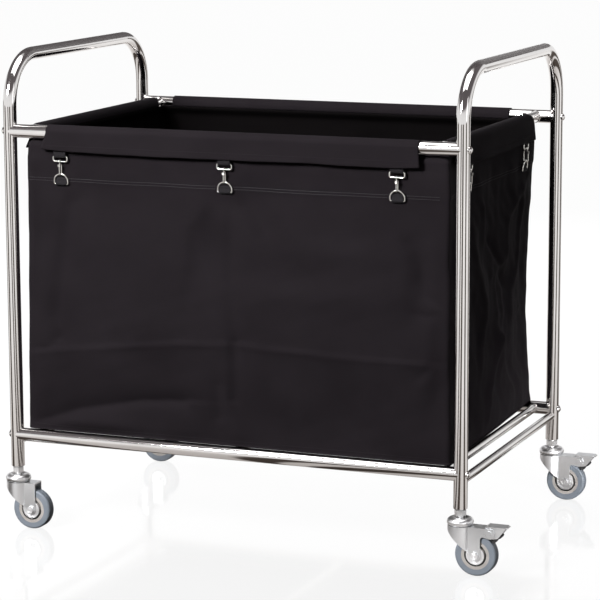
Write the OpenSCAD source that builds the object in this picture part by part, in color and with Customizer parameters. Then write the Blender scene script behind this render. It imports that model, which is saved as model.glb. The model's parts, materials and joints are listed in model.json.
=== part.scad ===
// Housekeeping cart: a tubular frame on four swivel castors, with a hanging fabric bag.
// Millimetres. +X points to the braked castors, +Y to the rear and +Z up.
// The origin is on the floor, under the middle of the whole cart's bounding box.

/* [Frame] */
// Distance between the two hoops, centre to centre
hoop_gap = 875; // [820:5:950]
// Distance between the front and the rear posts, centre to centre
post_gap = 565; // [520:5:620]
// Height of the handles' axis above the floor
handle_z = 885; // [870:5:950]
// Height of the top rails' axis above the floor
top_z = 750; // [700:5:752]
// Height of the bottom rails' axis above the floor
bottom_z = 179; // [172:1:230]
// Outer diameter of the hoops and the long rails
tube_d = 25; // [24:0.5:26]
// Outer diameter of the two top crossbars
cross_d = 22; // [19:0.5:23]
// Outer diameter of the end bars and the base crossbars
bar_d = 16; // [12:0.5:17]
// Wall thickness of every tube
tube_wall = 1.5; // [1:0.1:2]
// Radius of the hoops' bends, at the tube's axis
bend_r = 90; // [60:5:105]

/* [Bag] */
// Length of the bag over its end walls
bag_x = 800; // [740:5:804]
// Depth of the bag over its front and rear walls
bag_y = 572; // [568:1:576]
// Thickness of the fabric
fabric_t = 1.6; // [1:0.1:2]
// Length of the front and the rear flap along their rails
long_flap = 728; // [600:4:740]
// Length of the left and the right flap along their crossbars
short_flap = 500; // [400:4:504]
// Depth of a flap's hem under the axis of its tube
flap_drop = 33; // [28:1:40]
// Distance between neighbouring clips at the front and at the rear
clip_pitch = 326; // [250:2:330]

/* [Castors] */
// Diameter of a wheel over its tyre
wheel_d = 76; // [74:0.5:78]
// Distance from the swivel's axis back to the axle
trail = 31; // [29:0.5:32]
// Diameter of the domed swivel cap
cap_d = 47.5; // [46:0.5:50]

/* [Hidden] */
$fn = 48;
fit_gap = 0.05;      // radial clearance of a shaft or a plug
part_gap = 0.3;      // gap between neighbouring pieces
over = 1;            // how far a cutting shape runs past what it cuts

tube_r = tube_d / 2;
cross_r = cross_d / 2;
bar_r = bar_d / 2;
hoop_x = hoop_gap / 2;
post_y = post_gap / 2;

// Castor, measured from the swivel's axis on the floor
axle_z = wheel_d / 2;
plate_z = wheel_d + 12.4;    // top of the fork's plate
post_z = plate_z + 29.6;     // lower end of the posts
plate_t = 2.2;
fork_half = 13.7;            // outer half width over the fork's legs
leg_r = 9.7;
wheel_half = 10.2;           // half width of the tyre
core_r = 26;
cap_r = cap_d / 2;
stem_r = 6;
pin_r = 5;                   // the rivet that the fork turns on
axle_r = 4;
pedal_x = trail + 27;        // brake pedal's pivot
pedal_z = plate_z - 8.9;
pedal_reach = trail + 59;    // tip of the pedal
horn_r = 9.4;
horn_low = plate_z - 15.9;   // underside of the horn beside the leg
pedal_pin_r = 2.5;
plate_end = trail + 17;      // end of a braked fork's top plate

// The whole cart runs from the left caps to the tips of the pedals
shift_x = (cap_r - pedal_reach) / 2;

// Frame
plug_len = 30;               // solid end of a rail, behind the post
bolt_r = 4;
cross_x = hoop_x - 39.5;     // top crossbars
base_x = hoop_x - 34.5;      // outer base crossbars
end_bar_z = bottom_z - 13;

// Bag
bag_half_x = bag_x / 2;
bag_half_y = bag_y / 2;
floor_z = bottom_z + bar_r + 0.5;
ledge_z = bottom_z + tube_r + 0.7;    // where the bag lies on the bottom rails
ledge_y = post_y - tube_r - 1.5;
shoulder_z = top_z - 50;              // the clips pull the walls out down to here
neck_top = top_z - 5;                 // the flaps start here
flap_in = part_gap + 0.1;             // gap between a tube and its flap

// Clips, in a side's own frame: x outward from the bag's wall, y along it
clip_out = 6;                         // plane that the clip hangs in
clip_off = -5;                        // the front and rear rows sit off centre
side_off = 20;
side_pitch = 340;
hem_z = top_z - flap_drop;
fold_z = hem_z - 8.5;                 // upper rod of the wire loop
loop_z = fold_z - 10;                 // lower rod of the wire loop
wire_r = 1.4;
hook_wire = 1.25;
hook_eye = 3.2;
hook_bend = 4.2;
hook_top = loop_z - hook_eye - hook_bend;
hook_low = hook_top - 14;
gate_x = clip_out + hook_bend;
gate_z = hook_top - 1;
gate_pin_r = 0.7;
ring_r = 13.5;
ring_leg = 3.2;
ring_bend = 2;
ring_top = hook_low - hook_bend + hook_wire + wire_r + fit_gap;
ring_tilt = 8;
ring_drop = ring_r + ring_leg + ring_bend;
ring_foot_x = clip_out - ring_drop * sin(ring_tilt);
ring_foot_z = ring_top - ring_drop * cos(ring_tilt);

// Sides of the bag: name, turn about Z, distance of the wall, places of the clips
LONG = [-clip_pitch, 0, clip_pitch];
SHORT = [-side_pitch / 2, side_pitch / 2];
SIDES = [
    ["front", 270, bag_half_y, [for (p = LONG) p + clip_off]],
    ["rear", 90, bag_half_y, [for (p = LONG) p - clip_off]],
    ["right", 0, bag_half_x, [for (p = SHORT) p + side_off]],
    ["left", 180, bag_half_x, [for (p = SHORT) p - side_off]],
];
// Corners: name, side in X, side in Y. The castors at +X have brakes.
CORNERS = [
    ["front_left", -1, -1],
    ["front_right", 1, -1],
    ["rear_left", -1, 1],
    ["rear_right", 1, 1],
];
BRAKED = [for (c = CORNERS) if (c[1] > 0) c];

// ---------- placing ----------

module at_corner(c) {
    translate([c[1] * hoop_x, c[2] * post_y, 0]) children();
}

module at_corners() {
    for (c = CORNERS) at_corner(c) children();
}

// In a clip's own frame, x points outward from the bag's wall and y runs along it
module at_clip(side, place) {
    rotate([0, 0, side[1]]) translate([side[2], place, 0]) children();
}

module at_clips() {
    for (s = SIDES) {
        for (p = s[3]) at_clip(s, p) children();
    }
}

// A rod along Y, centred on the plane y = 0
module rod_y(r, length) {
    rotate([90, 0, 0]) cylinder(h = length, r = r, center = true);
}

module rod_x(r, length) {
    rotate([0, 90, 0]) cylinder(h = length, r = r, center = true);
}

// A flat shape drawn in x and z, extruded along Y about the plane y = 0
module slab_y(width) {
    rotate([90, 0, 0]) linear_extrude(width, center = true) children();
}

// A quarter or more of a round wire, in the x-z plane from +x towards +z
module arc_xz(mean_r, wire, angle) {
    rotate([90, 0, 0]) rotate_extrude(angle = angle) translate([mean_r, 0]) circle(wire);
}

// ---------- frame ----------

// Both posts, both bends and the handle, all as one round bar of radius r
module hoop_run(r, extra) {
    for (s = [0, 1]) mirror([0, s, 0]) {
        translate([0, post_y, post_z - extra]) cylinder(h = handle_z - bend_r - post_z + extra, r = r);
        translate([0, post_y - bend_r, handle_z - bend_r])
            rotate([90, 0, 90]) rotate_extrude(angle = 90) translate([bend_r, 0]) circle(r);
    }
    translate([0, 0, handle_z]) rod_y(r, 2 * (post_y - bend_r));
}

module hoop() {
    color("gainsboro") difference() {
        hoop_run(tube_r, 0);
        hoop_run(tube_r - tube_wall, over);
        for (y = [-post_y, post_y]) for (z = [bottom_z, top_z])
            translate([0, y, z]) rod_x(bolt_r + fit_gap, tube_d + 2 * over);
    }
}

// The thin bar across a hoop, its ends fitted round the posts
module end_bar() {
    color("gainsboro") difference() {
        translate([0, 0, end_bar_z]) rod_y(bar_r, post_gap);
        translate([0, 0, end_bar_z]) rod_y(bar_r - tube_wall, post_gap + over);
        for (y = [-post_y, post_y]) translate([0, y, 0]) cylinder(h = top_z, r = tube_r + fit_gap);
    }
}

// A long tube with threaded plugs in its ends, fitted round the posts
module long_rail() {
    color("gainsboro") difference() {
        rod_x(tube_r, hoop_gap);
        rod_x(tube_r - tube_wall, hoop_gap - 2 * (tube_r + plug_len));
        rod_x(bolt_r + fit_gap, hoop_gap + over);
        for (x = [-hoop_x, hoop_x]) translate([x, 0, 0])
            cylinder(h = tube_d + 2 * over, r = tube_r + fit_gap, center = true);
    }
}

// A bar between the two long rails at its own height, with a weld ring at each end
module rail_to_rail(r, ring) {
    color("silver") difference() {
        union() {
            rod_y(r, post_gap);
            for (y = [-1, 1]) translate([0, y * (post_y - tube_r), 0]) rod_y(r + ring, 8);
        }
        rod_y(r - tube_wall, post_gap + over);
        for (y = [-post_y, post_y]) translate([0, y, 0]) rod_x(tube_r + fit_gap, 4 * r + 2 * over);
    }
}

module base_crossbars() {
    for (x = [-base_x, 0, base_x]) translate([x, 0, bottom_z]) rail_to_rail(bar_r, 0.6);
}

// A domed bolt along +Z, from outside the post into the rail's plug, with the post along X
module rail_bolt() {
    washer_r = 7.2;
    dome_r = 6.2;
    dome_h = 4;
    seat = tube_r + 0.8;
    ball_r = (dome_r * dome_r + dome_h * dome_h) / (2 * dome_h);
    reach = tube_r + plug_len - 6;
    difference() {
        union() {
            translate([0, 0, seat - 4]) cylinder(h = 4, r = washer_r);
            intersection() {
                translate([0, 0, seat + dome_h - ball_r]) sphere(ball_r);
                translate([0, 0, seat - over]) cylinder(h = dome_h + 2 * over, r = dome_r + over);
            }
        }
        rod_x(tube_r + fit_gap, 4 * washer_r);
    }
    translate([0, 0, -reach]) cylinder(h = seat + reach, r = bolt_r);
}

module rail_bolts() {
    color("silver") for (c = CORNERS) at_corner(c) for (z = [bottom_z, top_z])
        translate([0, 0, z]) rotate([0, 90, c[1] > 0 ? 0 : 180]) rail_bolt();
}

module post_sockets() {
    color("dimgray") at_corners() translate([0, 0, post_z]) difference() {
        cylinder(h = 32, r = tube_r - tube_wall - fit_gap);
        translate([0, 0, -over]) cylinder(h = 32 + 2 * over, r = stem_r + fit_gap);
    }
}

// ---------- bag ----------

// Half of a cross-section of the bag, mirrored about its middle plane: wall half width at the
// bottom and up to the shoulders, half width of the neck, and the ledge over a bottom rail
module bag_section(wall, neck, ledge, low, ledge_low, top) {
    for (s = [0, 1]) mirror([s, 0]) polygon([
        [0, low],
        [ledge, low],
        [ledge, ledge_low],
        [wall, ledge_low],
        [wall, shoulder_z],
        [neck, top_z - cross_r - 1],
        [neck, top],
        [0, top],
    ]);
}

// The space inside the fabric's outer face moved in by inset
module bag_space(inset, top) {
    neck_x = cross_x - cross_r - flap_in;
    neck_y = post_y - tube_r - flap_in;
    wide = 2 * bag_x;
    intersection() {
        rotate([90, 0, 0]) linear_extrude(wide, center = true)
            bag_section(bag_half_x - inset, neck_x - inset, bag_half_x - inset,
                floor_z + inset, floor_z + inset, top);
        rotate([90, 0, 90]) linear_extrude(wide, center = true)
            bag_section(bag_half_y - inset, neck_y - inset, ledge_y - inset,
                floor_z + inset, ledge_z + inset, top);
    }
}

module bag_body() {
    color("#2b282b") difference() {
        bag_space(0, neck_top - part_gap);
        bag_space(fabric_t, neck_top + over);
    }
}

// A flap folded over a tube along Y, with its hem on the +X side
module flap(over_r, length) {
    inner = over_r + flap_in;
    outer = inner + fabric_t;
    color("#353236") translate([0, 0, top_z]) slab_y(length) {
        intersection() {
            difference() {
                circle(outer);
                circle(inner);
            }
            translate([-outer, 0]) square([2 * outer, outer]);
        }
        translate([inner, -flap_drop]) square([fabric_t, flap_drop]);
        translate([-outer, neck_top - top_z]) square([fabric_t, top_z - neck_top]);
    }
}

// ---------- clips ----------

// A rounded wire rectangle in the y-z plane: half width and half height to the wire's axis
module wire_frame(half_y, half_z, corner) {
    for (a = [0, 1]) mirror([0, a, 0]) for (b = [0, 1]) mirror([0, 0, b]) {
        translate([0, half_y - corner, half_z - corner])
            rotate([90, 0, 90]) rotate_extrude(angle = 90) translate([corner, 0]) circle(wire_r);
        translate([0, half_y, 0]) cylinder(h = half_z - corner, r = wire_r);
        translate([0, 0, half_z]) rotate([-90, 0, 0]) cylinder(h = half_y - corner, r = wire_r);
    }
}

module clip_tab() {
    fold_r = 3.1;
    translate([clip_out, 0, fold_z]) difference() {
        union() {
            rod_y(fold_r, 24);
            translate([fold_r - 1.3, -12, 0]) cube([1.3, 24, hem_z + 9 - fold_z]);
        }
        rod_y(wire_r + 0.4, 24 + over);
    }
}

module ring_tab() {
    fold_r = 2.9;
    translate([ring_foot_x, 0, ring_foot_z]) difference() {
        union() {
            rod_y(fold_r, 22);
            translate([-fold_r, -11, 0]) cube([1.2, 22, 14]);
        }
        rod_y(wire_r + 0.3, 22 + over);
    }
}

module ring_loop() {
    translate([clip_out, 0, (fold_z + loop_z) / 2]) wire_frame(14, (fold_z - loop_z) / 2, 3.5);
}

// The ring leans out from its foot on the wall to the hook
module d_ring() {
    translate([clip_out, 0, ring_top]) rotate([0, ring_tilt, 0]) translate([0, 0, -ring_r]) {
        rotate([90, 0, 90]) rotate_extrude(angle = 180) translate([ring_r, 0]) circle(wire_r);
        for (s = [0, 1]) mirror([0, s, 0]) {
            translate([0, ring_r, -ring_leg]) cylinder(h = ring_leg, r = wire_r);
            translate([0, ring_r - ring_bend, -ring_leg])
                rotate([-90, 0, 90]) rotate_extrude(angle = 90) translate([ring_bend, 0]) circle(wire_r);
        }
        translate([0, 0, -ring_leg - ring_bend]) rod_y(wire_r, 2 * (ring_r - ring_bend));
    }
}

// The wire hook: an eye round the loop's lower rod over a long link, open where the gate is
module snap_hook() {
    ear_r = 1.9;
    difference() {
        union() {
            translate([clip_out, 0, loop_z]) arc_xz(hook_eye, hook_wire, 360);
            translate([clip_out, 0, hook_top]) arc_xz(hook_bend, hook_wire, 180);
            translate([clip_out, 0, hook_low]) mirror([0, 0, 1]) arc_xz(hook_bend, hook_wire, 180);
            translate([clip_out - hook_bend, 0, hook_low])
                cylinder(h = hook_top - hook_low, r = hook_wire);
            translate([gate_x, 0, hook_low]) cylinder(h = 1.2, r = hook_wire);
            translate([gate_x, 0, gate_z]) rod_y(ear_r, 4.4);
            translate([gate_x - ear_r, -2.2, gate_z]) cube([2 * ear_r, 4.4, 3]);
        }
        translate([gate_x - 5, -1.3, gate_z - 5]) cube([10, 2.6, 6.9]);
        translate([gate_x, 0, gate_z]) rod_y(gate_pin_r + fit_gap, 10);
    }
}

module gate_pin() {
    translate([gate_x, 0, gate_z]) rod_y(gate_pin_r, 4.8);
}

module gate() {
    eye_r = 1.6;
    low = hook_low + 1.6;
    color("silver") difference() {
        union() {
            translate([gate_x, 0, gate_z]) rod_y(eye_r, 2.2);
            translate([gate_x, 0, low]) cylinder(h = gate_z - low, r = 1.1);
        }
        translate([gate_x, 0, gate_z]) rod_y(gate_pin_r + fit_gap, 4);
    }
}

// ---------- castors, each with its swivel's axis on the Z axis ----------

module caster_stem() {
    nut_z = plate_z + 17.6;
    translate([0, 0, plate_z - 5.1]) cylinder(h = 8.6, r = pin_r);
    translate([0, 0, plate_z - 5.1]) cylinder(h = 2.4, r = pin_r + 3.5);
    translate([0, 0, plate_z + 3.5]) cylinder(h = post_z + 26 - plate_z, r = stem_r);
    translate([0, 0, nut_z]) difference() {
        cylinder(h = 9.5, r = 11, $fn = 6);
        translate([0, 0, -over]) cylinder(h = 9.5 + 2 * over, r = stem_r + fit_gap);
    }
}

// A dome with a hollow round the stem and a recess below for the race
module swivel_cap() {
    roll_r = 7.9;
    rotate_extrude() difference() {
        union() {
            translate([cap_r - roll_r, plate_z + 6.3]) circle(roll_r);
            translate([stem_r + fit_gap, plate_z + 3.6]) square([cap_r - roll_r - stem_r, 7.2]);
        }
        translate([0, plate_z + part_gap - 10]) square([cap_r + over, 10]);
        translate([0, plate_z]) square([cap_r - 2.2, 3.3]);
    }
}

module swivel_race() {
    translate([0, 0, plate_z + part_gap]) difference() {
        cylinder(h = 2.7, r = cap_r - 3.6);
        translate([0, 0, -over]) cylinder(h = 2.7 + 2 * over, r = cap_r - 12);
    }
}

// Outline of a fork seen from the side: a diagonal front edge and a rounded foot at the axle
module fork_side(braked) {
    lift = 12;
    polygon([
        [-cap_r, plate_z + over],
        [-cap_r, plate_z - 5.4],
        [trail - leg_r * cos(lift), axle_z + leg_r * sin(lift)],
        [trail, axle_z],
        [trail + leg_r, axle_z],
        [trail + leg_r, plate_z + over],
    ]);
    translate([trail, axle_z]) circle(leg_r);
    if (braked) {
        polygon([
            [trail, plate_z + over],
            [trail, horn_low],
            [trail + leg_r + 5, horn_low],
            [pedal_x, pedal_z - horn_r],
            [pedal_x, plate_z + over],
        ]);
        translate([pedal_x, pedal_z]) circle(horn_r);
        difference() {
            translate([trail + leg_r - over, horn_low - 5]) square([5 + over, 5]);
            translate([trail + leg_r + 5, horn_low - 5]) circle(5);
        }
    }
}

// Plan of a fork, or of the hollow in it when inset is the plate's thickness
module fork_plan(inset, end) {
    circle(cap_r - 1.2 - inset);
    translate([0, inset - fork_half]) square([end, 2 * (fork_half - inset)]);
}

module fork(braked) {
    end = braked ? pedal_x + horn_r + over : trail + leg_r;
    color("lightgray") difference() {
        intersection() {
            difference() {
                linear_extrude(plate_z) fork_plan(0, end);
                translate([0, 0, -over]) linear_extrude(plate_z - plate_t + over)
                    fork_plan(plate_t, end + over);
                if (braked) translate([plate_end, plate_t - fork_half, 0])
                    cube([end, 2 * (fork_half - plate_t), plate_z + over]);
            }
            slab_y(4 * fork_half) fork_side(braked);
        }
        translate([0, 0, plate_z - plate_t - over]) cylinder(h = plate_t + 2 * over, r = pin_r + fit_gap);
        translate([trail, 0, axle_z]) rod_y(axle_r + fit_gap, 4 * fork_half);
        if (braked) translate([pedal_x, 0, pedal_z]) rod_y(pedal_pin_r + fit_gap, 4 * fork_half);
    }
}

// The axle bolt with its head at the front, its nut, the spacer tube and the two thread guards
module axle() {
    head_h = 4;
    guard_r = 16.8;
    guard_t = 1.4;
    inside = fork_half - plate_t;
    color("silver") translate([trail, 0, axle_z]) {
        translate([0, 1.5, 0]) rod_y(axle_r, 2 * fork_half + 7);
        translate([0, -fork_half - head_h / 2, 0]) rod_y(6.3, head_h);
        translate([0, fork_half + 2.6, 0]) difference() {
            rotate([90, 0, 0]) cylinder(h = 5, r = 7.5, center = true, $fn = 6);
            rod_y(axle_r + fit_gap, 8);
        }
        difference() {
            rod_y(stem_r, 2 * (inside - guard_t - fit_gap) - 0.2);
            rod_y(axle_r + fit_gap, 4 * inside);
        }
        for (s = [0, 1]) mirror([0, s, 0]) difference() {
            translate([0, inside - fit_gap - guard_t / 2, 0]) rod_y(guard_r, guard_t);
            rod_y(axle_r + fit_gap, 4 * inside);
            translate([0, inside, 0]) difference() {
                rod_y(guard_r - 3.4, 0.9);
                rod_y(guard_r - 4.6, 1);
            }
        }
    }
}

module core() {
    bore_r = stem_r + fit_gap;
    color("#b3aea4") translate([trail, 0, axle_z]) rotate([90, 0, 0]) rotate_extrude() {
        translate([bore_r, -8.4]) square([core_r - bore_r, 16.8]);
        translate([18.4, -9.8]) square([core_r - 18.4, 19.6]);
    }
}

module tyre() {
    round_r = 4;
    bore_r = core_r + fit_gap;
    color("#76808c") translate([trail, 0, axle_z]) rotate([90, 0, 0]) rotate_extrude() {
        translate([bore_r, -wheel_half]) square([axle_z - round_r - bore_r, 2 * wheel_half]);
        translate([bore_r, round_r - wheel_half])
            square([axle_z - bore_r, 2 * (wheel_half - round_r)]);
        for (s = [-1, 1]) translate([axle_z - round_r, s * (wheel_half - round_r)]) circle(round_r);
    }
}

// The pedal: a plate level with the fork's, on two cheeks that turn inside the fork's horn
module pedal() {
    cheek_out = fork_half - plate_t - 0.5;
    cheek_in = cheek_out - 2;
    top = plate_z + 4;
    color("lightgray") difference() {
        union() {
            translate([plate_end + 2.5, -fork_half + 0.4, top - 1.8])
                cube([pedal_reach - 4 - plate_end - 2.5, 2 * fork_half - 0.8, 1.8]);
            translate([pedal_reach - 4 - over, -8, top - 1.8]) cube([4 + over, 16, 1.8]);
            for (s = [-1, 1]) translate([0, s * (cheek_out + cheek_in) / 2, 0])
                slab_y(cheek_out - cheek_in) pedal_side(top - over);
        }
        translate([pedal_x, 0, pedal_z]) rod_y(pedal_pin_r + fit_gap, 4 * fork_half);
    }
}

module pedal_side(top) {
    round_r = 8.9;
    translate([pedal_x, pedal_z]) circle(round_r);
    polygon([
        [pedal_x - 6, top],
        [pedal_x - 6, pedal_z],
        [pedal_x, pedal_z - round_r],
        [pedal_x + 6, pedal_z - round_r - 0.4],
        [pedal_x + 14, pedal_z - 7.7],
        [pedal_reach - 4, top - 2.5],
        [pedal_reach - 4, top],
    ]);
}

// The rubber shoe between the cheeks, its lower face round the wheel
module pad() {
    shoe_gap = 3.2;
    color("#1b1b1d") difference() {
        slab_y(2 * (fork_half - plate_t - 2.7)) polygon([
            [pedal_x - 2, pedal_z - 3.2],
            [pedal_x - 2, pedal_z - 17],
            [pedal_x + 8, pedal_z - 17],
            [pedal_x + 13, pedal_z - 10],
            [pedal_x + 19, pedal_z - 7],
            [pedal_x + 20.5, pedal_z - 3.5],
            [pedal_x + 16, pedal_z],
            [pedal_x + 5, pedal_z],
        ]);
        translate([trail, 0, axle_z]) rod_y(axle_z + shoe_gap, 4 * fork_half);
        translate([pedal_x, 0, pedal_z]) rod_y(pedal_pin_r + part_gap, 4 * fork_half);
    }
}

module pedal_pin() {
    color("silver") translate([pedal_x, 0, pedal_z]) {
        rod_y(pedal_pin_r, 2 * fork_half + 2);
        for (s = [-1, 1]) translate([0, s * (fork_half + 1), 0]) rod_y(5.2, 1.9);
    }
}

// ---------- the nodes ----------

translate([shift_x - hoop_x, 0, 0]) hoop();  // left_hoop
translate([shift_x + hoop_x, 0, 0]) hoop();  // right_hoop
translate([shift_x - hoop_x, 0, 0]) end_bar();  // left_end_bar
translate([shift_x + hoop_x, 0, 0]) end_bar();  // right_end_bar
translate([shift_x, -post_y, top_z]) long_rail();  // front_top_rail
translate([shift_x, post_y, top_z]) long_rail();  // rear_top_rail
translate([shift_x, -post_y, bottom_z]) long_rail();  // front_bottom_rail
translate([shift_x, post_y, bottom_z]) long_rail();  // rear_bottom_rail
translate([shift_x - cross_x, 0, top_z]) rail_to_rail(cross_r, 0.8);  // left_top_crossbar
translate([shift_x + cross_x, 0, top_z]) rail_to_rail(cross_r, 0.8);  // right_top_crossbar
translate([shift_x, 0, 0]) base_crossbars();
translate([shift_x, 0, 0]) rail_bolts();
translate([shift_x, 0, 0]) post_sockets();

translate([shift_x, 0, 0]) bag_body();
translate([shift_x, -post_y, 0]) rotate([0, 0, 270]) flap(tube_r, long_flap);  // front_flap
translate([shift_x, post_y, 0]) rotate([0, 0, 90]) flap(tube_r, long_flap);  // rear_flap
translate([shift_x - cross_x, 0, 0]) rotate([0, 0, 180]) flap(cross_r, short_flap);  // left_flap
translate([shift_x + cross_x, 0, 0]) flap(cross_r, short_flap);  // right_flap

color("#201e21") translate([shift_x, 0, 0]) at_clips() clip_tab();  // clip_tabs
color("#201e21") translate([shift_x, 0, 0]) at_clips() ring_tab();  // ring_tabs
color("silver") translate([shift_x, 0, 0]) at_clips() ring_loop();  // ring_loops
color("silver") translate([shift_x, 0, 0]) at_clips() d_ring();  // d_rings
color("silver") translate([shift_x, 0, 0]) at_clips() snap_hook();  // snap_hooks
color("gray") translate([shift_x, 0, 0]) at_clips() gate_pin();  // gate_pins
for (s = SIDES) for (i = [1:len(s[3])])
    translate([shift_x, 0, 0]) at_clip(s, s[3][i - 1]) gate();

color("silver") translate([shift_x, 0, 0]) at_corners() caster_stem();  // caster_stems
color("gainsboro") translate([shift_x, 0, 0]) at_corners() swivel_cap();  // swivel_caps
color("dimgray") translate([shift_x, 0, 0]) at_corners() swivel_race();  // swivel_races
for (c = CORNERS) translate([shift_x, 0, 0]) at_corner(c) {
    fork(c[1] > 0);
    axle();
    core();
    tyre();
}
for (c = BRAKED) translate([shift_x, 0, 0]) at_corner(c) {
    pedal();
    pad();
    pedal_pin();
}
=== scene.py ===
"""Looks of the wheeled bag cart.

The steel and the castors are the CAD nodes with procedural finishes. The bag, its flaps, the webbing tabs and
the stitches are made here, in millimetres from the cart's own middle plane, and stand for their CAD nodes.
"""

import json
import math
from collections import namedtuple

import bpy
import numpy as np
from mathutils import Matrix, Vector, noise
from mathutils.bvhtree import BVHTree


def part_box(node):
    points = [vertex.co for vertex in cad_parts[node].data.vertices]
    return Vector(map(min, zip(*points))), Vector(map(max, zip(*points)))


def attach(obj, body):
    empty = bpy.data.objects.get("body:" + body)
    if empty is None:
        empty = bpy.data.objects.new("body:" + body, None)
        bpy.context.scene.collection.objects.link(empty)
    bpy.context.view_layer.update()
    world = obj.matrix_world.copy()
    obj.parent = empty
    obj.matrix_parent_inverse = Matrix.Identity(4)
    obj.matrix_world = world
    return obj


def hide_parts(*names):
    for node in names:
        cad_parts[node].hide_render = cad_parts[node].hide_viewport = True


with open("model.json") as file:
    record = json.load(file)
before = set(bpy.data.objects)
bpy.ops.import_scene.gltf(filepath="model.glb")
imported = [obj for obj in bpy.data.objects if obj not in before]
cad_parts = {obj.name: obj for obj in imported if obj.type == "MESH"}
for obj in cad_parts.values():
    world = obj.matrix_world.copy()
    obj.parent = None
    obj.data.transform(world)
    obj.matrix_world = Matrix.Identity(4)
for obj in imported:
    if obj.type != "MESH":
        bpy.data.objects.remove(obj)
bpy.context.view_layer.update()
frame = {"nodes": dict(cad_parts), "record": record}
nodes = frame["nodes"]


def middle(node):
    lo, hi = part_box(node)
    return (lo + hi) / 2


MM = 0.001
CART_X = (middle("left_hoop").x + middle("right_hoop").x) / 2   # the cart's own middle plane, in metres
RAIL_Y = middle("rear_top_rail").y / MM
RAIL_Z = middle("rear_top_rail").z / MM
BASE_Z = middle("rear_bottom_rail").z / MM
CROSS_X = (middle("right_top_crossbar").x - CART_X) / MM
BAG_LO, BAG_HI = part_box("bag_body")
WALL_X = (BAG_HI.x - CART_X) / MM
WALL_Y = BAG_HI.y / MM
TUBE_R, CROSS_R, BAR_R = 12.5, 11.0, 8.0
CLOTH = 1.2                     # thickness of the cloth
BAND_Z = 660.0                  # lower edge of the doubled band round the top of the bag
GRID_FINE, GRID_COARSE = 5.0, 12.0
CLIPS_LONG = [-331.0, -5.0, 321.0]
CLIPS_SHORT = [-150.0, 190.0]

# a side of the bag: outward and along directions, the bar's distance out and its radius, the wall's distance
# out and half its length, the clips along it, and how far the flap's hem is under the middle of the bar
Side = namedtuple("Side", "out along bar radius wall half clips hem")
SIDES = {
    "front": Side((0, -1), (1, 0), RAIL_Y, TUBE_R, WALL_Y, 400.0, CLIPS_LONG, 34.0),
    "rear": Side((0, 1), (1, 0), RAIL_Y, TUBE_R, WALL_Y, 400.0, CLIPS_LONG, 34.0),
    "right": Side((1, 0), (0, 1), CROSS_X, CROSS_R, WALL_X, 283.0, CLIPS_SHORT, 40.0),
    "left": Side((-1, 0), (0, 1), CROSS_X, CROSS_R, WALL_X, 283.0, CLIPS_SHORT, 40.0),
}
LONG = ("front", "rear")


def row(points):
    """Cart-centred millimetres to the row frame in metres."""
    p = np.array(points, float) * MM
    p[..., 0] += CART_X
    return p


# ---------------------------------------------------------------- materials

WAVES_PER_UNIT = 3.18           # bands of a wave texture whose scale is 1
CLOUD_SPAN = (0.3, 0.7)         # the part of a noise texture's range that is used
RING_TURNS, RING_DEPTH = 75.0, 0.0006
# painted shade: half width and colour of a near-black ring on a wheel's core, standing for the shadow in the
# gap round its cover
SHADE_RING_HALF, GAP_SHADE_COLOUR = 0.026, (0.01, 0.01, 0.01, 1)


def tree(name):
    m = bpy.data.materials.new(name)
    m.use_nodes = True
    nt = m.node_tree
    return m, nt, nt.nodes["Principled BSDF"]


def feed(nt, value, socket):
    """Link a socket to another one, or set it to a constant."""
    if isinstance(value, bpy.types.NodeSocket):
        nt.links.new(value, socket)
    else:
        socket.default_value = value


def coords(nt, kind):
    return nt.nodes.new("ShaderNodeTexCoord").outputs[kind]


def mapped(nt, kind, scale=(1, 1, 1), location=(0, 0, 0)):
    mp = nt.nodes.new("ShaderNodeMapping")
    mp.inputs["Scale"].default_value = scale
    mp.inputs["Location"].default_value = location
    nt.links.new(coords(nt, kind), mp.inputs["Vector"])
    return mp.outputs["Vector"]


def noise_tex(nt, vector, scale, detail=3.0, rough=0.5):
    n = nt.nodes.new("ShaderNodeTexNoise")
    n.inputs["Scale"].default_value = scale
    n.inputs["Detail"].default_value = detail
    n.inputs["Roughness"].default_value = rough
    nt.links.new(vector, n.inputs["Vector"])
    return n.outputs["Fac"]


def ramp(nt, fac, *stops):
    """Colours along a value, from pairs of position and colour in rising order."""
    r = nt.nodes.new("ShaderNodeValToRGB")
    e = r.color_ramp.elements
    for k, (position, colour) in enumerate(stops):
        if k > 1:
            e.new(position)
        e[k].position, e[k].color = position, (*colour, 1)
    nt.links.new(fac, r.inputs["Fac"])
    return r.outputs["Color"]


def remap(nt, fac, lo, hi, a=CLOUD_SPAN[0], b=CLOUD_SPAN[1]):
    m = nt.nodes.new("ShaderNodeMapRange")
    m.inputs["From Min"].default_value, m.inputs["From Max"].default_value = a, b
    m.inputs["To Min"].default_value, m.inputs["To Max"].default_value = lo, hi
    nt.links.new(fac, m.inputs["Value"])
    return m.outputs["Result"]


def math_node(nt, op, *values):
    m = nt.nodes.new("ShaderNodeMath")
    m.operation = op
    for socket, value in zip(m.inputs, values):
        feed(nt, value, socket)
    return m.outputs["Value"]


def vector_math(nt, op, vector):
    m = nt.nodes.new("ShaderNodeVectorMath")
    m.operation = op
    nt.links.new(vector, m.inputs[0])
    return m.outputs["Value" if op == "LENGTH" else "Vector"]


def height_of(nt, vector):
    split = nt.nodes.new("ShaderNodeSeparateXYZ")
    nt.links.new(vector, split.inputs["Vector"])
    return split.outputs["Z"]


def weighted(nt, *terms):
    """Sum of pairs of value and weight."""
    total = None
    for value, weight in reversed(terms):
        term = math_node(nt, "MULTIPLY", value, weight)
        total = term if total is None else math_node(nt, "ADD", term, total)
    return total


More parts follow.
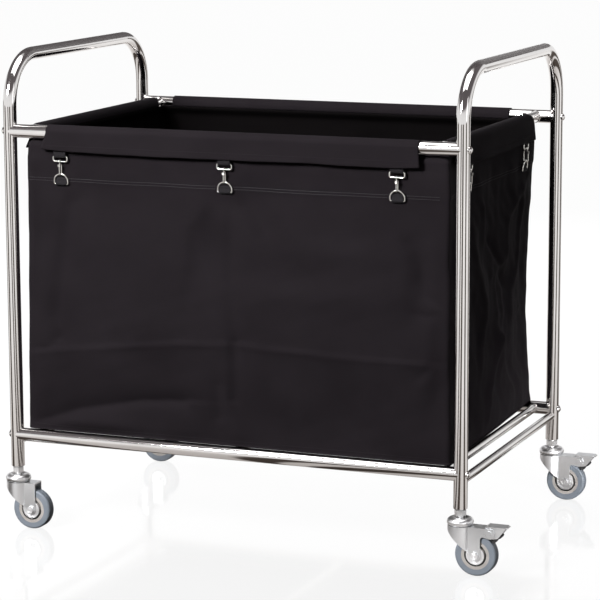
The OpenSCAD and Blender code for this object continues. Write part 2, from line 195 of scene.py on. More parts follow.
def mix_colour(nt, fac, a, b, mode="MIX"):
    n = nt.nodes.new("ShaderNodeMix")
    n.data_type, n.blend_type = "RGBA", mode
    for i, value in ((0, fac), (6, a), (7, b)):           # the colour sockets of a Mix node
        feed(nt, value, n.inputs[i])
    return n.outputs[2]


def bump(nt, bsdf, height, strength, distance):
    b = nt.nodes.new("ShaderNodeBump")
    b.inputs["Strength"].default_value = strength
    b.inputs["Distance"].default_value = distance
    nt.links.new(height, b.inputs["Height"])
    nt.links.new(b.outputs["Normal"], bsdf.inputs["Normal"])


def from_axis(nt):
    """How far a point is from a wheel's axis: 0 on it, 0.5 at the rim of the piece."""
    return vector_math(nt, "LENGTH", mapped(nt, "Generated", (1, 0, 1), (-0.5, 0, -0.5)))


def metal(name, dark, light, rough, grain, strength, rings=False):
    """A metal whose tone and gloss change a little over the surface, with fine grain."""
    m, nt, bsdf = tree(name)
    bsdf.inputs["Metallic"].default_value = 1.0
    v = mapped(nt, "Object")
    cloud = noise_tex(nt, v, 9.0, 4.0)
    fine = noise_tex(nt, v, grain, 6.0, 0.65)
    lo, hi = CLOUD_SPAN
    nt.links.new(ramp(nt, cloud, (lo, dark), (hi, light)), bsdf.inputs["Base Color"])
    nt.links.new(remap(nt, weighted(nt, (cloud, 0.5), (fine, 0.5)), *rough), bsdf.inputs["Roughness"])
    if rings:                                             # grooves turned into a wheel's cover
        groove = math_node(nt, "SINE", math_node(nt, "MULTIPLY", from_axis(nt), RING_TURNS), 0.0)
        bump(nt, bsdf, groove, 0.3, RING_DEPTH)
    else:
        bump(nt, bsdf, fine, strength, 0.0004)
    return m


def fabric(name, dark, light, pitch, sheen, rough=(0.72, 0.86), strength=0.35):
    """Plain-woven cloth on UVs in metres: warp and weft threads, slubs, worn lighter patches."""
    m, nt, bsdf = tree(name)
    bsdf.inputs["Specular IOR Level"].default_value = 0.02
    bsdf.inputs["Sheen Weight"].default_value = sheen
    bsdf.inputs["Sheen Roughness"].default_value = 0.45
    uv = mapped(nt, "UV")
    threads = []
    for direction in ("X", "Y"):
        w = nt.nodes.new("ShaderNodeTexWave")
        w.wave_type = "BANDS"
        w.bands_direction = direction
        w.wave_profile = "SIN"
        w.inputs["Scale"].default_value = 1 / (pitch * WAVES_PER_UNIT)
        w.inputs["Distortion"].default_value = 0.35
        w.inputs["Detail"].default_value = 1.0
        w.inputs["Detail Scale"].default_value = 0.4
        nt.links.new(uv, w.inputs["Vector"])
        threads.append(w.outputs["Fac"])
    weave = math_node(nt, "MAXIMUM", *threads)
    slub = noise_tex(nt, mapped(nt, "UV", (40, 700, 1)), 1.0)
    patch = noise_tex(nt, mapped(nt, "UV", (9, 9, 1)), 1.0, 5.0, 0.6)
    tone = weighted(nt, (patch, 0.6), (slub, 0.2), (weave, 0.2))
    nt.links.new(ramp(nt, tone, (0.3, dark), (0.75, light)), bsdf.inputs["Base Color"])
    nt.links.new(remap(nt, patch, *rough), bsdf.inputs["Roughness"])
    bump(nt, bsdf, weighted(nt, (weave, 0.8), (slub, 0.3)), strength, 0.00025)
    return m


def moulded(name, dark, light, rough, grain, strength, shade_ring=0.0):
    """Rubber or moulded plastic with a mottled tone and a fine skin, and on a wheel's core a near-black ring
    of painted shade in the gap round its cover.
    """
    m, nt, bsdf = tree(name)
    v = mapped(nt, "Object")
    cloud = noise_tex(nt, v, 35.0, 4.0)
    skin = noise_tex(nt, v, grain, 5.0, 0.6)
    lo, hi = CLOUD_SPAN
    colour = ramp(nt, cloud, (lo, dark), (hi, light))
    if shade_ring:                                               # painted shade: a near-black ring where the gap round the wheel's cover lies in shadow
        colour = mix_colour(nt, math_node(nt, "COMPARE", from_axis(nt), shade_ring, SHADE_RING_HALF), colour, GAP_SHADE_COLOUR)
    nt.links.new(colour, bsdf.inputs["Base Color"])
    nt.links.new(remap(nt, skin, *rough), bsdf.inputs["Roughness"])
    bump(nt, bsdf, skin, strength, 0.0003)
    return m


LOOKS = {                     # kind, dark and light tone, then the kind's own values
    "polished_tube": (metal, (0.75, 0.73, 0.72), (0.84, 0.82, 0.81), (0.05, 0.12), 220.0, 0.03),
    "bright_steel": (metal, (0.76, 0.765, 0.77), (0.89, 0.89, 0.90), (0.28, 0.40), 300.0, 0.05),
    "zinc_plate": (metal, (0.80, 0.82, 0.84), (0.92, 0.93, 0.95), (0.24, 0.42), 500.0, 0.16),
    "clip_wire": (metal, (0.66, 0.65, 0.62), (0.84, 0.83, 0.80), (0.16, 0.28), 700.0, 0.08),
    "bag_fabric": (fabric, (0.0074, 0.0059, 0.0071), (0.0124, 0.0103, 0.0121), 0.0007, 0.006),
    # bag_lining: a near-black tone, about a quarter of the outer cloth's, painted shade of the bag's inside
    "bag_lining": (fabric, (0.0016, 0.0013, 0.0014), (0.0034, 0.0028, 0.0030), 0.0007, 0.0),
    "black_thread": (fabric, (0.012, 0.010, 0.011), (0.020, 0.018, 0.020), 0.0006, 0.02, (0.6, 0.75), 0.5),
    "webbing": (fabric, (0.008, 0.007, 0.008), (0.019, 0.018, 0.020), 0.0013, 0.05, (0.6, 0.75), 0.6),
    "wheel_disc": (metal, (0.74, 0.74, 0.75), (0.88, 0.88, 0.89), (0.40, 0.52), 60.0, 0.05, True),
    "wheel_core": (moulded, (0.27, 0.25, 0.235), (0.36, 0.335, 0.315), (0.35, 0.5), 600.0, 0.10, 0.365),
    "grey_tyre": (moulded, (0.125, 0.145, 0.17), (0.16, 0.18, 0.21), (0.42, 0.6), 900.0, 0.18),
    "brake_rubber": (moulded, (0.010, 0.010, 0.011), (0.022, 0.022, 0.023), (0.5, 0.7), 700.0, 0.2),
    "dark_plug": (moulded, (0.03, 0.03, 0.03), (0.07, 0.07, 0.07), (0.4, 0.6), 500.0, 0.12),
    "thread": (fabric, (0.035, 0.033, 0.036), (0.07, 0.067, 0.07), 0.0006, 0.2, (0.5, 0.65), 0.5),
}
FINISH = {name: kind(name, *values) for name, (kind, *values) in LOOKS.items()}

for part in frame["record"]["subparts"]:
    look = "wheel_disc" if part["node"].startswith("axle") else part["material_slot"]
    nodes[part["node"]].data.materials.clear()
    nodes[part["node"]].data.materials.append(FINISH[look])


# ---------------------------------------------------------------- mesh helpers


def mesh_object(name, verts, faces, uvs, look):
    """A smooth mesh in the row frame from metres, with one UV per vertex."""
    me = bpy.data.meshes.new(name)
    me.from_pydata([tuple(v) for v in verts], [], faces)
    me.update()
    layer = me.uv_layers.new(name="cut")
    index = np.zeros(len(me.loops), int)
    me.loops.foreach_get("vertex_index", index)
    layer.data.foreach_set("uv", np.asarray(uvs, np.float32)[index].ravel())
    me.polygons.foreach_set("use_smooth", [True] * len(me.polygons))
    me.materials.append(FINISH[look])
    o = bpy.data.objects.new(name, me)
    bpy.context.scene.collection.objects.link(o)
    return o


def thicken(o):
    """Give a sheet its thickness, half to each side."""
    m = o.modifiers.new("cloth", "SOLIDIFY")
    m.thickness, m.offset = CLOTH * MM, 0.0
    return m


def grid_faces(cols, rows, closed=False, flip=False):
    """Quads of a grid stored row by row, cols wide."""
    faces = []
    for r in range(rows - 1):
        for c in range(cols if closed else cols - 1):
            n = (c + 1) % cols
            q = [r * cols + c, r * cols + n, (r + 1) * cols + n, (r + 1) * cols + c]
            faces.append(q[::-1] if flip else q)
    return faces


def merged(parts):
    """Vertices, faces and UVs of several parts as one mesh."""
    verts, faces, uvs = [], [], []
    for v, f, u in parts:
        base = len(verts)
        verts += list(v)
        faces += [[base + i for i in q] for q in f]
        uvs += list(u)
    return verts, faces, uvs


def smooth_step(x, a, b):
    t = np.clip((np.asarray(x, float) - a) / (b - a), 0, 1)
    return t * t * (3 - 2 * t)


def waves(u, v, seed, size, amount, count=7):
    """Soft unevenness: a sum of a few waves with seeded directions and phases."""
    out = np.zeros_like(np.asarray(u, float))
    rng = np.random.default_rng(seed)
    for _ in range(count):
        k = 2 * math.pi / (size * rng.uniform(0.7, 1.6))
        angle, phase = rng.uniform(0, math.pi), rng.uniform(0, 2 * math.pi)
        out += np.sin(k * (u * math.cos(angle) + v * math.sin(angle)) + phase)
    return out * amount / count ** 0.5


def line_distance(u, v, line):
    """Distance from points to a polyline, and the side of it that they are on, -1 or 1."""
    best = np.full(np.shape(u), 1e9)
    side = np.zeros(np.shape(u))
    for (x0, y0), (x1, y1) in zip(line, line[1:]):
        dx, dy = x1 - x0, y1 - y0
        t = np.clip(((u - x0) * dx + (v - y0) * dy) / (dx * dx + dy * dy), 0, 1)
        px, py = u - x0 - t * dx, v - y0 - t * dy
        d = np.hypot(px, py)
        side = np.where(d < best, np.sign(px * dy - py * dx), side)
        best = np.minimum(best, d)
    return best, side


def crease(u, v, line, depth, width, step=0.0):
    """A fold pressed along a line: depth out (+) or in (-), and a step that lifts one side of it."""
    d, side = line_distance(u, v, line)
    out = depth * np.exp(-d / width)
    if step:
        out = out + step * side * np.exp(-d / (2.5 * width)) * (1 - np.exp(-d / (0.35 * width)))
    return out


def dent(u, v, centre, size, depth):
    return depth * np.exp(-((u - centre[0]) / size[0]) ** 2 - ((v - centre[1]) / size[1]) ** 2)


# ---------------------------------------------------------------- the bag

# corner lines of the bag from the neck down: (z, x, y)
CORNERS = {
    "fl": [(745, -386.3, -269.3), (740, -388, -270), (735, -396, -276), (730, -402, -285), (706, -404, -286),
           (560, -405, -286), (380, -408, -288), (193, -413, -286)],
    "fr": [(745, 386.3, -269.3), (740, 389, -270), (735, 404, -277), (730, 415, -285), (706, 417, -286),
           (560, 416, -286), (380, 417, -288), (193, 419, -286)],
    "rr": [(745, 386.3, 269.3), (740, 387, 270), (735, 390, 276), (730, 392, 284), (706, 394, 285),
           (620, 389, 285), (560, 384, 285), (430, 379, 285), (380, 379, 286), (300, 383, 286),
           (230, 388, 285), (193, 394, 285)],
    "rl": [(745, -386.3, 269.3), (740, -387, 270), (735, -390, 276), (730, -392, 284), (706, -393, 285),
           (560, -389, 285), (380, -391, 286), (193, -397, 285)],
}
WALL_CORNERS = {"front": ("fl", "fr"), "right": ("fr", "rr"), "rear": ("rr", "rl"), "left": ("rl", "fl")}
WALL_ORDER = ("front", "right", "rear", "left")           # anticlockwise from above
WALL_FOOT, TENT_TOP = 193, 650  # the walls stand out between these, over the packing fold
GRID_LOW, GRID_TOP = 193.2, 744.2
HOLD_Z, HOLD_HALF, HOLD_FALL = 685, (12, 31), (22, 26)    # round the clips: middle, half size, soft edge
BAND_PROUD = 0.9

# folds and hollows of a front and of a side wall, in mm along the wall and up: a crease has its line, depth
# outwards, width and step, a dent its centre, size and depth
PACK_FOLD = [(-402, 340), (-340, 350), (-107, 378), (14, 384), (200, 377), (334, 374), (412, 372)]
FRONT_MARKS = [
    (crease, PACK_FOLD, 2.6, 4, 1.6),
    (crease, [(1, 650), (1, 560), (4, 470), (12, 384)], -3.0, 8, 1.8),
    (crease, [(12, 384), (9, 279)], -8.0, 5, 3.0),
    (crease, [(-18, 307), (-18, 243)], -7.0, 4.5, -2.6),
    (crease, [(13, 232), (13, 203)], 4.6, 7),
    (crease, [(18, 650), (62, 588)], -5.0, 15, 2.6),
    (crease, [(62, 588), (80, 545)], -2.5, 22, 1.2),
    (crease, [(-20, 655), (-72, 590), (-80, 520)], 3.0, 18, 1.2),
    (crease, [(-318, 651), (-331, 560), (-348, 421), (-340, 372)], -5.4, 15, 3.0),
    (crease, [(-340, 372), (-362, 350), (-402, 344)], -4.5, 9),
    (crease, [(-411, 198), (-300, 236), (-174, 262), (-90, 268)], -10.5, 14, 3.0),
    (dent, (-270, 212), (110, 18), 5.0),
    (dent, (-60, 300), (50, 26), 4.2),
    (dent, (365, 515), (24, 62), -9.0),
    (crease, [(340, 585), (362, 540), (372, 492), (398, 474)], -4.5, 7, 2.4),
    (crease, [(372, 350), (388, 372), (402, 370)], -3.4, 6, 2.0),
    (crease, [(386, 300), (398, 322)], -3.0, 6),
    (crease, [(352, 462), (379, 457), (405, 462)], -3.2, 8),
    (dent, (215, 250), (150, 45), -4.5),
    (dent, (190, 560), (120, 22), 3.2),
    (dent, (150, 480), (110, 24), 3.6),
    (dent, (-190, 520), (110, 90), 4.4),
    (crease, [(-60, 640), (-52, 560), (-30, 470)], 3.0, 20),
    (crease, [(-384, 700), (-379, 600), (-386, 480)], -4.0, 9, 1.6),
    (crease, [(-362, 690), (-358, 610)], 2.6, 8),
]
SIDE_MARKS = [
    (dent, (0, 430), (230, 150), 7.0),
    (crease, [(-25, 548), (28, 503), (82, 454)], -7.0, 8, 3.0),
    (crease, [(226, 641), (143, 601), (96, 572), (75, 507), (34, 496)], 7.5, 14, 3.0),
    (crease, [(180, 640), (196, 560), (160, 470), (118, 442), (114, 403)], 5.5, 12, -3.0),
    (crease, [(12, 481), (14, 402), (27, 368)], 5.5, 7, 2.6),
    (crease, [(62, 450), (60, 395)], 4.5, 7, 2.0),
    (crease, [(27, 368), (6, 320), (-33, 265), (-40, 225)], 7.0, 9, -3.0),
    (crease, [(27, 368), (66, 320), (100, 285), (131, 253)], 6.5, 10, 3.2),
    (crease, [(52, 300), (60, 240)], 4.0, 9),
    (crease, [(-66, 622), (-59, 560)], 4.8, 8, 2.2),
    (crease, [(-130, 560), (-118, 526), (-72, 442), (-84, 330)], 6.0, 16, -2.8),
    (crease, [(-200, 600), (-190, 450), (-214, 300)], 6.4, 22, 2.8),
    (dent, (215, 420), (40, 150), -6.0),
    (crease, [(196, 393), (262, 390)], 3.4, 6),
]


def corner(name, z):
    heights, xs, ys = np.array(CORNERS[name][::-1], float).T
    return np.interp(z, heights, xs), np.interp(z, heights, ys)


def near_clip(u, z, clips):
    """1 round each ring tab and behind its hook, where the wall is held in its plane, falling to 0."""
    above = (np.maximum(np.abs(z - HOLD_Z) - HOLD_HALF[1], 0) / HOLD_FALL[1]) ** 2
    out = np.zeros_like(u)
    for c in clips:
        beside = (np.maximum(np.abs(u - c) - HOLD_HALF[0], 0) / HOLD_FALL[0]) ** 2
        out = np.maximum(out, np.exp(-beside - above))
    return out


def front_relief(u, z, seed):
    """Outward relief of a long wall: packing folds, the soft swell and slump of the cloth."""
    fold = np.interp(u, *zip(*PACK_FOLD))
    below = (z - WALL_FOOT) / (fold - WALL_FOOT)
    above = np.clip((TENT_TOP - z) / (TENT_TOP - fold), 0, 1)
    swell = 8.5 + 3.0 * smooth_step(u, -120, 60)
    d = swell * (below + above - np.sqrt((below - above) ** 2 + 0.0005)) / 2      # the lesser, softly
    for mark, *values in FRONT_MARKS:
        d += mark(u, z, *values)
    return d + waves(u, z, seed, 150, 1.3) + waves(u, z, seed + 1, 42, 0.3)


def side_relief(u, z, seed):
    """Outward relief of a side wall, which hangs looser and is full of long folds."""
    d = np.zeros_like(u)
    for mark, *values in SIDE_MARKS:
        d += mark(u, z, *values)
    return d + waves(u, z, seed, 110, 2.2) + waves(u, z, seed + 1, 36, 0.7)


WALLS = {                     # relief, factor and shift of the place along and of the height, seed
    "front": (front_relief, (1.0, 0.0), (1.0, 0.0), 3),
    "rear": (front_relief, (-0.96, 14.0), (0.97, 12.0), 31),
    "right": (side_relief, (1.0, 0.0), (1.0, 0.0), 11),
    "left": (side_relief, (-0.9, 20.0), (1.04, -12.0), 47),
}


def wall_relief(side, u, z):
    """Relief in mm on a wall. u runs along +X on the long walls and +Y on the short ones."""
    relief, (fu, du), (fz, dz), seed = WALLS[side]
    half, clips = SIDES[side].half, SIDES[side].clips
    edge = 1 - smooth_step(np.abs(u), half - 26, half + 8) * 0.75
    top = 1 - smooth_step(z, 664, 706)
    foot = smooth_step(z, 192, 214)
    held = 1 - near_clip(u, z, clips)
    band = smooth_step(z, BAND_Z - 1.5, BAND_Z + 0.5) * (1 - smooth_step(z, 700, 712))
    return (relief(u * fu + du, z * fz + dz, seed) * edge * top * foot + BAND_PROUD * band) * held


def wall_point(side, f, z):
    """Point on a wall at f (0..1 along it, seen going round anticlockwise from above) and height z."""
    s = SIDES[side]
    (ax, ay), (bx, by) = (corner(name, z) for name in WALL_CORNERS[side])
    x, y = ax + (bx - ax) * f, ay + (by - ay) * f
    wall = s.wall - CLOTH / 2
    if side in LONG:
        y = np.sign(y) * np.where(z < 726, wall, np.abs(y))
        relief = wall_relief(side, x, z)
    else:                                                 # drawn out to its plane, least at the foot
        pull = np.interp(z, [193, 560, 640, 660, 729, 739], [0.35, 0.5, 0.8, 1, 1, 0])
        bow = np.clip(4 * f * (1 - f), 0, 1) ** 0.45
        at_clip = near_clip(y, z, s.clips) * np.interp(z, [729, 739], [1, 0])
        x = x + (np.sign(x) * wall - x) * np.maximum(pull * bow, at_clip)
        relief = wall_relief(side, y, z)
    return np.stack([x + s.out[0] * relief, y + s.out[1] * relief, z + 0 * x], -1)


def floor_height(x, y):
    """Height of the bag's floor, which lies on three cross bars and two rails and sags between them."""
    inner = RAIL_Y - TUBE_R - 3
    on_bars = BASE_Z + BAR_R + 0.5 + CLOTH / 2
    on_rails = BASE_Z + TUBE_R + 0.7 + CLOTH / 2
    lift = smooth_step(abs(y), inner - 26, inner + 10)
    bay = abs(math.sin(math.pi * x / 403.0)) ** 0.8
    sag = 5.5 * bay * (1 - lift) * (1 - smooth_step(abs(x), 380, 404))
    rim = smooth_step(abs(x), 396, 412) * 1.6
    rough = 0.5 * noise.noise(Vector((x / 60, y / 60, 3)))
    return float(on_bars - sag + lift * (on_rails - on_bars) + rim + rough)


def bag_shell(cell, settled=None):
    """The bag as one open box of cloth: walls from the neck down and a floor, on a square grid."""
    nx, ny = round(804 / cell), round(560 / cell)
    nz = round((GRID_TOP - GRID_LOW) / cell)
    count = 2 * (nx + ny)
    levels = np.linspace(GRID_TOP, GRID_LOW, nz + 1)
    walls = np.zeros((nz + 1, count, 3))
    start = 0
    for side in WALL_ORDER:
        n = nx if side in LONG else ny
        walls[:, start:start + n] = wall_point(side, *np.meshgrid(np.arange(n) / n, levels))
        start += n
    for _ in range(max(1, round(16 / cell))):             # soften the four upright corners
        around = (np.roll(walls, 1, 1) + np.roll(walls, -1, 1)) / 2
        bend = np.linalg.norm(around - walls, axis=2, keepdims=True)
        walls[:, :, :2] += (np.clip(bend * 2, 0, 1) * 0.5 * (around - walls))[:, :, :2]
    if settled is not None:
        loose = 1 - held_share(walls.reshape(-1, 3)).reshape(*walls.shape[:2], 1)
        walls += spread(settled, walls.shape[:2]) * loose
    verts = list(walls.reshape(-1, 3))
    faces = grid_faces(count, nz + 1, closed=True, flip=True)
    uvs = [(k % count * cell * MM, levels[k // count] * MM) for k in range(len(verts))]
    low = nz * count
    index = {}                                            # the walls' lowest points are the floor's edge
    for i in range(nx + 1):
        index[i, 0] = low + i
        index[i, ny] = low + 2 * nx + ny - i
    for j in range(1, ny):
        index[nx, j] = low + nx + j
        index[0, j] = low + count - j
    edge = {k: verts[v] for k, v in index.items()}
    for i in range(1, nx):
        for j in range(1, ny):
            fx, fy = i / nx, j / ny
            x = (1 - fy) * edge[i, 0][0] + fy * edge[i, ny][0]
            y = (1 - fx) * edge[0, j][1] + fx * edge[nx, j][1]
            index[i, j] = len(verts)
            verts.append(np.array([x, y, floor_height(x, y)]))
            uvs.append((x * MM, y * MM))
    for i in range(nx):
        for j in range(ny):
            faces.append([index[i, j], index[i + 1, j], index[i + 1, j + 1], index[i, j + 1]])
    return np.array(verts), faces, np.array(uvs), count, nz


def spread(field, shape):
    """A coarse field of moves over the walls, spread smoothly onto a finer grid of the same walls."""
    for _ in range(2):
        field = (np.roll(field, 1, 1) + 2 * field + np.roll(field, -1, 1)) / 4
        padded = np.concatenate([field[:1], field, field[-1:]])
        field = (padded[:-2] + 2 * field + padded[2:]) / 4
    levels, count = field.shape[:2]
    r = np.linspace(0, levels - 1, shape[0])
    c = np.arange(shape[1]) * count / shape[1]
    r0, c0 = np.minimum(r.astype(int), levels - 2), c.astype(int)
    fr, fc = (r - r0)[:, None, None], (c - c0)[None, :, None]
    c1 = (c0 + 1) % count
    upper, lower = (field[k][:, c0] * (1 - fc) + field[k][:, c1] * fc for k in (r0, r0 + 1))
    return upper * (1 - fr) + lower * fr


def held_share(points):
    """How firmly each point of the bag is held: 1 at the neck, the tabs and the floor, less at the seams."""
    x, y, z = points.T
    firm = np.maximum(smooth_step(z, 700, 708), 1 - smooth_step(z, 193.5, 197))
    for along, out, inside, clips in ((x, y, 240, CLIPS_LONG), (y, x, 370, CLIPS_SHORT)):
        firm = np.maximum(firm, near_clip(along, z, clips) * (np.abs(out) > inside))
    seams = np.exp(-((np.abs(x) - 404) / 14) ** 2 - ((np.abs(y) - 286) / 14) ** 2)
    return np.clip(np.maximum(firm, 0.5 * seams), 0, 1)


DRAPE_FRAMES, DRAPE_CAP = 30, 11.0


def settle():
    """How a coarse bag of the same shape sags from where it is held: a cloth simulation, its moves capped."""
    points, faces, uvs, count, levels = bag_shell(GRID_COARSE)
    o = mesh_object("bag_drape", row(points), faces, uvs, "bag_fabric")
    group = o.vertex_groups.new(name="held")
    for i, share in enumerate(held_share(points)):
        if share > 0.01:
            group.add([i], float(share), "REPLACE")
    drape = o.modifiers.new("drape", "CLOTH")
    s = drape.settings
    s.quality = 8
    s.mass = 0.0012
    s.tension_stiffness = s.compression_stiffness = 30
    s.shear_stiffness = 12
    s.bending_stiffness = 2.0
    s.air_damping = 2
    s.shrink_min = -0.0026                                # a little longer than it was cut
    s.vertex_group_mass = "held"
    s.pin_stiffness = 1.0
    drape.collision_settings.use_collision = False
    drape.point_cache.frame_start, drape.point_cache.frame_end = 1, DRAPE_FRAMES
    scene = bpy.context.scene
    for frame_number in range(1, DRAPE_FRAMES + 1):
        scene.frame_set(frame_number)
    me = o.evaluated_get(bpy.context.evaluated_depsgraph_get()).to_mesh()
    after = np.array([v.co for v in me.vertices]) / MM
    after[:, 0] -= CART_X / MM
    scene.frame_set(1)
    bpy.data.objects.remove(o, do_unlink=True)
    move = (after - points)[: (levels + 1) * count].reshape(levels + 1, count, 3)
    size = np.linalg.norm(move, axis=2, keepdims=True)
    return move * np.minimum(1, DRAPE_CAP * np.tanh(size / DRAPE_CAP) / np.maximum(size, 1e-6))


settled = settle()
bag_mm, bag_faces, bag_uvs, *_ = bag_shell(GRID_FINE, settled)
bag = mesh_object("bag_shell", row(bag_mm), bag_faces, bag_uvs, "bag_fabric")
thicken(bag).material_offset = 1                          # the inside is the lining, near-black as painted shade of the bag's inside
bag.data.materials.append(FINISH["bag_lining"])
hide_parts("bag_body")
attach(bag, "frame")


# ---------------------------------------------------------------- flaps

ROUND_FALL = 28.0
FOLD_R = 1.05                   # the turn of the hem


def placed(side, along, out, z):
    """Cart point from a side's own directions: along the bar, out from the cart's middle, up."""
    (ox, oy), (ax, ay) = SIDES[side].out, SIDES[side].along
    along, out, z = np.broadcast_arrays(along, out, z)
    return np.stack([ax * along + ox * out, ay * along + oy * out, z], -1)


def path_length(path):
    """Length along a path to each of its points."""
    return np.concatenate([[0], np.cumsum(np.hypot(*np.diff(path, axis=0).T))])


def flap_section(r, drop):
    """A flap's section as (out, up) from the bar's middle: inside, over the bar, down, the hem turned in."""
    section = [(-r, -5.2), (-r, -2.4)]
    section += [(-r * math.cos(t), r * math.sin(t)) for t in np.linspace(0, math.pi, 25)]
    section += [(r, -z) for z in np.linspace(3.5, drop - 1.2, 9)]
    section += [(r - FOLD_R + FOLD_R * math.cos(t), -drop + 1.2 - FOLD_R * math.sin(t))
                for t in np.linspace(0.6, math.pi, 5)]
    section += [(r - 2 * FOLD_R, -z) for z in np.linspace(drop - 4, drop - 13, 4)]
    return np.array(section)


def flap(side, top_ends, hem_ends, flares, hem_line, seed, rounded=0.0):
    """One flap: a strip of cloth that goes up inside the bar, over it and down outside, with a turned hem.

    rounded is how far the far end draws back, in an arc that ends ROUND_FALL below the top of the bar.
    """
    s = SIDES[side]
    mid_r = s.radius + 0.5 + CLOTH / 2
    section = flap_section(mid_r, s.hem)
    length = path_length(section)
    cols = 2 * round((top_ends[1] - top_ends[0]) / 8) + 1
    f = np.linspace(0, 1, cols)
    verts, uvs = [], []
    for (out, up), cut in zip(section, length):
        fall = np.clip(-up / s.hem, 0, 1) if out > 0 else 0.0
        lo, hi = (top + (hem - top) * fall for top, hem in zip(top_ends, hem_ends))
        level = np.clip((mid_r - up) / ROUND_FALL, 0, 1)
        hi -= rounded * (1 - math.sqrt(1 - (1 - level) ** 2))
        along = lo + (hi - lo) * f
        zero = along * 0
        ends = flares[0] * np.exp(-(along - lo) / 24) + flares[1] * np.exp(-(hi - along) / 24)
        free = 1 - sum(np.exp(-((along - c) / 26) ** 2) for c in s.clips)
        flare = 2.1 + (waves(along, zero, seed, 160, 1.1) + 1.2) * free + ends
        lift = (np.interp(along, *zip(*hem_line)) + waves(along, zero, seed + 1, 90, 0.5) * free) * fall
        ripple = waves(along, zero + up * 3, seed + 2, 60, 0.12)
        place_out = s.bar + out + flare * fall ** 1.3 + ripple * (out > 0)
        verts.append(placed(side, along, place_out, RAIL_Z + up + lift + ends * 0.3 * fall))
        uvs.append(np.stack([along * MM, np.full(cols, cut * MM)], -1))
    verts, uvs = np.concatenate(verts), np.concatenate(uvs)
    faces = grid_faces(cols, len(section), flip=side in ("front", "left"))
    o = mesh_object(f"{side}_flap_cloth", row(verts), faces, uvs, "bag_fabric")
    thicken(o)
    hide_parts(f"{side}_flap")
    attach(o, "frame")
    return o, (hem_ends[1] - hem_ends[0]) * MM, length[-1] * MM


FLAPS = {                     # ends at the top and at the hem, flare of each end, line of the hem, seed
    "front": flap("front", (-358, 361), (-368, 364), (1.5, 0.5),
                  [(-368, 5), (-331, 2), (-150, -1), (-5, 0), (150, 1), (321, -1), (364, 2)], 101),
    "rear": flap("rear", (-364, 347), (-366, 349), (1, 1), [(-366, 2), (0, 0), (349, 1)], 202),
    "left": flap("left", (-250, 250), (-251, 251), (8, 2), [(-251, 4), (-150, 1), (250, 1)], 303),
    "right": flap("right", (-250, 228), (-251, 230), (3, 0), [(-251, 2), (0, 0), (230, 1)], 404, 26),
}

# ---------------------------------------------------------------- tabs of webbing

HOOK_OUT, HOOK_Z, HOOK_R = 6.0, 708.5, 2.65               # the fold round each wire loop, out from the wall
RING_OUT, RING_Z, RING_R = 3.4, 657.1, 2.2                # the fold round each D-ring
HOOK_BACK = [(-2.4, 710.5), (-1.4, 713.4), (-0.4, 716), (-0.3, 719), (-0.3, 723)]
RING_BACK = [(1.9, 659.2), (0.7, 661.8), (-0.7, 664.5), (-0.85, 668)]


def ribbon(path, half_width, thickness, side, along):
    """A strip of webbing bent along a path of (out, z), closed all round with rounded edges."""
    path = np.array(path, float)
    step = np.gradient(path, axis=0)
    step /= np.linalg.norm(step, axis=1, keepdims=True)
    normal = np.stack([step[:, 1], -step[:, 0]], -1)
    ring = [(-1, 0.35), (-0.97, 0.5), (-0.5, 0.5), (0, 0.5), (0.5, 0.5), (0.97, 0.5), (1, 0.35)]
    ring += [(a, -b) for a, b in ring[::-1]]
    verts, uvs = [], []
    for p, n, s in zip(path, normal, path_length(path)):
        for a, b in ring:
            out, z = p + n * b * thickness
            verts.append(placed(side, along + a * half_width, out, z))
            uvs.append((a * half_width * MM, s * MM))
    faces = grid_faces(len(ring), len(path), closed=True)
    last = (len(path) - 1) * len(ring)
    faces.append(list(range(len(ring)))[::-1])
    faces.append([last + i for i in range(len(ring))])
    return verts, faces, uvs


def arc(centre, r, a, b, count=11):
    t = np.radians(np.linspace(a, b, count))
    return [(centre[0] + r * math.cos(x), centre[1] + r * math.sin(x)) for x in t]


upper, lower = [], []
for side, s in SIDES.items():
    hook, ring = s.wall + HOOK_OUT, s.wall + RING_OUT
    for c in s.clips:
        path = [(hook + HOOK_R - (z - 710) * 0.12, z) for z in np.linspace(725, 710, 6)]
        path += arc((hook, HOOK_Z), HOOK_R, 0, -180)
        path += [(hook + out, z) for out, z in HOOK_BACK]
        upper.append(ribbon(path, 12, 1.1, side, c))
        path = [(ring - RING_R, z) for z in np.linspace(670.5, 659, 5)]
        path += arc((ring, RING_Z), RING_R, 180, 360)
        path += [(ring + out, z) for out, z in RING_BACK]
        lower.append(ribbon(path, 11, 1.0, side, c))
for name, node, strips in (("clip_tab_webbing", "clip_tabs", upper),
                           ("ring_tab_webbing", "ring_tabs", lower)):
    verts, faces, uvs = merged(strips)
    o = mesh_object(name, row(verts), faces, uvs, "webbing")
    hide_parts(node)
    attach(o, "frame")

# ---------------------------------------------------------------- stitching

STITCH, PITCH, THREAD = 2.6, 3.8, 0.33
RAY_START, RAY_REACH = 0.04, 0.08                         # metres
STITCH_RINGS = ((0.0, 0.35), (0.2, 0.95), (0.5, 1.1), (0.8, 0.95), (1.0, 0.35))
STITCH_SIDES = 6


def surface_of(o):
    """Rays can be cast at this object as it renders."""
    me = o.evaluated_get(bpy.context.evaluated_depsgraph_get()).to_mesh()
    return BVHTree.FromPolygons([v.co.copy() for v in me.vertices], [list(p.vertices) for p in me.polygons])


